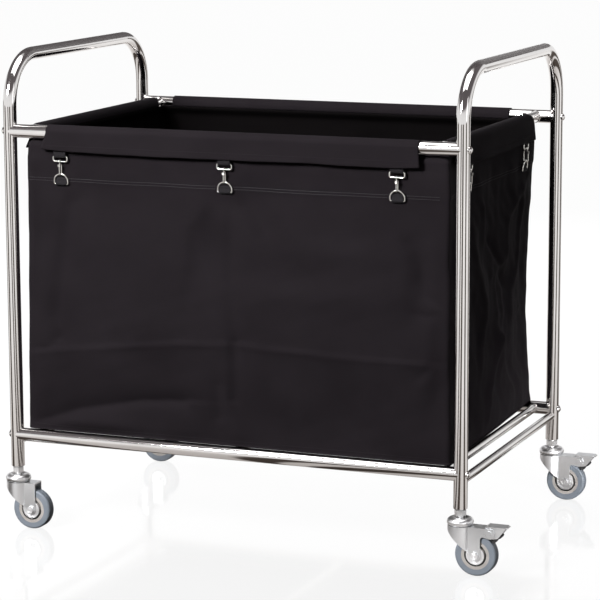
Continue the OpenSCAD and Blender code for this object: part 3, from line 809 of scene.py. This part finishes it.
def stitch_row(surface, points, ray):
    """Short thread stitches laid on a surface along a row of points (mm), found by casting along ray."""
    ray = Vector(ray)
    hits = [surface.ray_cast(Vector(p) - ray * RAY_START, ray, RAY_REACH)[:2] for p in row(points)]
    radius = THREAD * MM
    last = STITCH_SIDES * (len(STITCH_RINGS) - 1)
    parts = []
    for (a, na), (b, nb) in zip(hits[::2], hits[1::2]):
        if a is None or b is None or (b - a).length > 2 * STITCH * MM:
            continue
        n = (na + nb).normalized()
        if n.dot(ray) > 0:
            n = -n
        w = (b - a).normalized().cross(n)
        verts = []
        for f, k in STITCH_RINGS:
            c = a.lerp(b, f) + n * radius * (0.55 * k - 0.25)
            for i in range(STITCH_SIDES):
                q = 2 * math.pi / STITCH_SIDES * i
                verts.append(c + (w * math.cos(q) + n * math.sin(q)) * radius * k)
        faces = grid_faces(STITCH_SIDES, len(STITCH_RINGS), closed=True)
        faces += [list(range(STITCH_SIDES))[::-1], [last + i for i in range(STITCH_SIDES)]]
        parts.append((verts, faces, [(v.x, v.z) for v in verts]))
    return parts


def stitches(name, parts, look):
    o = mesh_object(name, *merged(parts), look)
    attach(o, "frame")
    return o


def spans(lo, hi):
    """Start and end of each stitch along a side from lo to hi."""
    starts = np.arange(lo, hi - STITCH, PITCH)
    return np.stack([starts, starts + STITCH], -1).ravel()


bpy.context.view_layer.update()
skin = surface_of(bag)
band_rows, foot_rows = [], []
for side, s in SIDES.items():
    u = spans(-400, 400) if side in LONG else spans(-272, 272)
    inward = (-s.out[0], -s.out[1], 0)
    for z in (BAND_Z + 1.8, BAND_Z + 6.6):
        band_rows += stitch_row(skin, placed(side, u, s.wall, z), inward)
    foot_rows += stitch_row(skin, placed(side, u, s.wall, 203.0), inward)
seams = [stitches("bag_stitching", band_rows, "thread"),
         stitches("bag_foot_stitching", foot_rows, "black_thread")]

for side, s in SIDES.items():
    u = spans(-355, 357) if side in LONG else spans(-246, 246)
    points = placed(side, u, s.bar + s.radius, RAIL_Z - s.hem + 11.5)
    parts = stitch_row(surface_of(FLAPS[side][0]), points, (-s.out[0], -s.out[1], 0))
    stitches(f"{side}_flap_stitching", parts, "black_thread")

# ---------------------------------------------------------------- camera, floor and light

CAMERA_AT = (1811.0, -4432.0, 1276.0)
CAMERA_TURN = (-21.99, -10.21, -0.23)                     # yaw, pitch and roll in degrees
LENS, SENSOR = 153.72, 36.0

cam = bpy.data.cameras.new("camera")
cam.sensor_width = SENSOR
cam.lens = LENS
cam.clip_end = 200
camera = bpy.data.objects.new("camera", cam)
bpy.context.scene.collection.objects.link(camera)
yaw, pitch, roll = (math.radians(a) for a in CAMERA_TURN)
ahead = Vector((math.sin(yaw) * math.cos(pitch), math.cos(yaw) * math.cos(pitch), math.sin(pitch)))
right = Vector((math.cos(yaw), -math.sin(yaw), 0))
up = right.cross(ahead)
right, up = right * math.cos(roll) + up * math.sin(roll), up * math.cos(roll) - right * math.sin(roll)
camera.matrix_world = Matrix.Translation(row(CAMERA_AT)) @ Matrix((right, up, -ahead)).transposed().to_4x4()
bpy.context.scene.camera = camera
bpy.context.scene.view_settings.view_transform = "Standard"


def lit(name, base, glow, strength):
    """A surface that gives its own even light, and its shader."""
    m, nt, bsdf = tree(name)
    bsdf.inputs["Base Color"].default_value = (*base, 1)
    bsdf.inputs["Emission Color"].default_value = (*glow, 1)
    bsdf.inputs["Emission Strength"].default_value = strength
    return m, nt, bsdf


def stage_piece(name, verts, faces, material, seen_by):
    """A surface of the studio, which isn't part of the cart, and the kinds of ray that see it."""
    me = bpy.data.meshes.new(name)
    me.from_pydata(verts, [], faces)
    me.materials.append(material)
    o = bpy.data.objects.new(name, me)
    bpy.context.scene.collection.objects.link(o)
    o.visible_camera = "camera" in seen_by
    o.visible_diffuse = "diffuse" in seen_by
    o.visible_glossy = "glossy" in seen_by
    o.visible_shadow = "shadow" in seen_by
    o.visible_transmission = "transmission" in seen_by


def square(half, z):
    return [(-half, -half, z), (half, -half, z), (half, half, z), (-half, half, z)]


floor_mat, nt, bsdf = lit("floor", (0.03, 0.03, 0.03), (1, 1, 1), 1.01)
bsdf.inputs["Roughness"].default_value = 1.0
bsdf.inputs["Specular IOR Level"].default_value = 0.0
gloss = nt.nodes.new("ShaderNodeBsdfGlossy")
gloss.inputs["Roughness"].default_value = 0.08
blend = nt.nodes.new("ShaderNodeMixShader")
blend.inputs["Fac"].default_value = 0.15
nt.links.new(bsdf.outputs["BSDF"], blend.inputs[1])
nt.links.new(gloss.outputs["BSDF"], blend.inputs[2])
nt.links.new(blend.outputs["Shader"], nt.nodes["Material Output"].inputs["Surface"])
# the boxes light the cart and the metal sees the cards, so that the floor is hidden from both
stage_piece("floor", square(60, 0), [(0, 1, 2, 3)], floor_mat, ("camera", "shadow", "transmission"))

world = bpy.data.worlds.new("studio")
bpy.context.scene.world = world
world.use_nodes = True
wt = world.node_tree
shade = ramp(wt, height_of(wt, coords(wt, "Generated")),
             (0.02, (0.16, 0.15, 0.14)), (0.30, (0.35, 0.345, 0.34)), (0.75, (0.9, 0.9, 0.9)))
wt.links.new(shade, wt.nodes["Background"].inputs["Color"])
wt.nodes["Background"].inputs["Strength"].default_value = 0.34


def softbox(name, where, size, power, target=(0, 0, 0.45)):
    light = bpy.data.lights.new(name, "AREA")
    light.shape = "RECTANGLE"
    light.size, light.size_y = size
    light.energy = power
    o = bpy.data.objects.new(name, light)
    bpy.context.scene.collection.objects.link(o)
    o.location = where
    o.rotation_mode = "QUATERNION"
    o.rotation_quaternion = (Vector(target) - Vector(where)).to_track_quat("-Z", "Y")
    return o


softbox("top_box", (0.0, -0.4, 3.0), (2.4, 1.8), 40)
softbox("front_left_box", (-1.2, -3.2, 2.4), (0.8, 1.0), 305)
softbox("right_box", (3.2, -1.2, 1.6), (0.5, 1.8), 4)
for name, where, power in (("back_box", (-1.3, 3.2, 1.7), 150), ("left_box", (-3.4, 0.9, 1.5), 90)):
    softbox(name, where, (1.4, 1.2), power).visible_glossy = False
low = softbox("castor_box", (2.3, -1.6, 0.42), (0.4, 0.4), 1.5, (0.46, 0.28, 0.05))
low.data.spread = math.radians(16)

# dark wedges of the ground, seen as streaks in the upright tubes: direction in degrees, half width in turns
WEDGES = ((-150, 0.028), (-98, 0.016), (-68, 0.024), (-20, 0.022), (35, 0.032), (62, 0.018), (166, 0.024))
WEDGE_SOFT, WEDGE_COLOUR, WHITE = 0.007, (0.10, 0.085, 0.075), (1, 1, 1)
SKY_R, SKY_AROUND, SKY_UP, DOME_FACTOR = 25, 24, 13, 2.3


def glow(name):
    """A material that only gives light, and the socket of its colour."""
    m = bpy.data.materials.new(name)
    m.use_nodes = True
    nt = m.node_tree
    nt.nodes.clear()
    light = nt.nodes.new("ShaderNodeEmission")
    out = nt.nodes.new("ShaderNodeOutputMaterial")
    nt.links.new(light.outputs["Emission"], out.inputs["Surface"])
    return m, nt, light.inputs["Color"]


# cards that only polished surfaces see, as in a studio: the ground, the sky and a dark card behind the cart;
# the ground card carries a painted shadow of the cart
ground, nt, colour = glow("ground_glow")
here = coords(nt, "Object")
# painted shadow: the ground card is darker towards the cart's middle, where the floor round the cart would
# lie in its shadow, and brighter farther out
far = ramp(nt, remap(nt, vector_math(nt, "LENGTH", here), 0.0, 1.0, 0.0, 4.0),
           (0.05, (0.46, 0.43, 0.41)), (0.25, (0.74, 0.71, 0.69)), (0.6, (1.0, 0.99, 0.98)))
turn = nt.nodes.new("ShaderNodeTexGradient")
turn.gradient_type = "RADIAL"
nt.links.new(here, turn.inputs["Vector"])
streaks = [(0.0, WHITE)]
for angle, half in WEDGES:
    at = angle / 360 + 0.5
    streaks += [(at - half - WEDGE_SOFT, WHITE), (at - half, WEDGE_COLOUR),
                (at + half, WEDGE_COLOUR), (at + half + WEDGE_SOFT, WHITE)]
streaks.append((1.0, WHITE))
nt.links.new(mix_colour(nt, 1.0, far, ramp(nt, turn.outputs["Fac"], *streaks), "MULTIPLY"), colour)
stage_piece("ground_card", square(30, -0.002), [(0, 1, 2, 3)], ground, ("glossy",))

sky, nt, colour = glow("sky_glow")
nt.links.new(ramp(nt, height_of(nt, vector_math(nt, "NORMALIZE", coords(nt, "Object"))),
                  (0.0, (0.95, 0.95, 0.95)), (0.28, (0.85, 0.85, 0.85)), (0.40, (0.14, 0.125, 0.13)),
                  (0.88, (0.12, 0.108, 0.11)), (0.95, (0.95, 0.95, 0.95))), colour)
sky_points = [(SKY_R * math.cos(a) * math.cos(h), SKY_R * math.sin(a) * math.cos(h), SKY_R * math.sin(h))
              for h in np.radians(np.linspace(0, 90, SKY_UP))
              for a in np.radians(np.arange(0, 360, 360 / SKY_AROUND))]
sky_faces = grid_faces(SKY_AROUND, SKY_UP, closed=True)
stage_piece("sky_card", sky_points, sky_faces, sky, ("glossy",))

backdrop, nt, bsdf = lit("backdrop", (0, 0, 0), WHITE, 0.98)      # white to the horizon and above it
bsdf.inputs["Specular IOR Level"].default_value = 0.0
dome_points = [tuple(DOME_FACTOR * c for c in p) for p in sky_points]
stage_piece("dome", dome_points, sky_faces, backdrop, ("camera",))

dark, *_ = lit("dark_card", (0.02, 0.02, 0.02), (0.035, 0.026, 0.028), 1.0)
arc_x, arc_y = (1.7 * f(np.radians(np.arange(55, 176, 10))) for f in (np.cos, np.sin))
high = [(x, y, z) for z in (1.14, 3.2) for x, y in zip(arc_x, arc_y)]     # higher than what the floor mirrors
stage_piece("high_card", high, grid_faces(len(arc_x), 2), dark, ("glossy",))
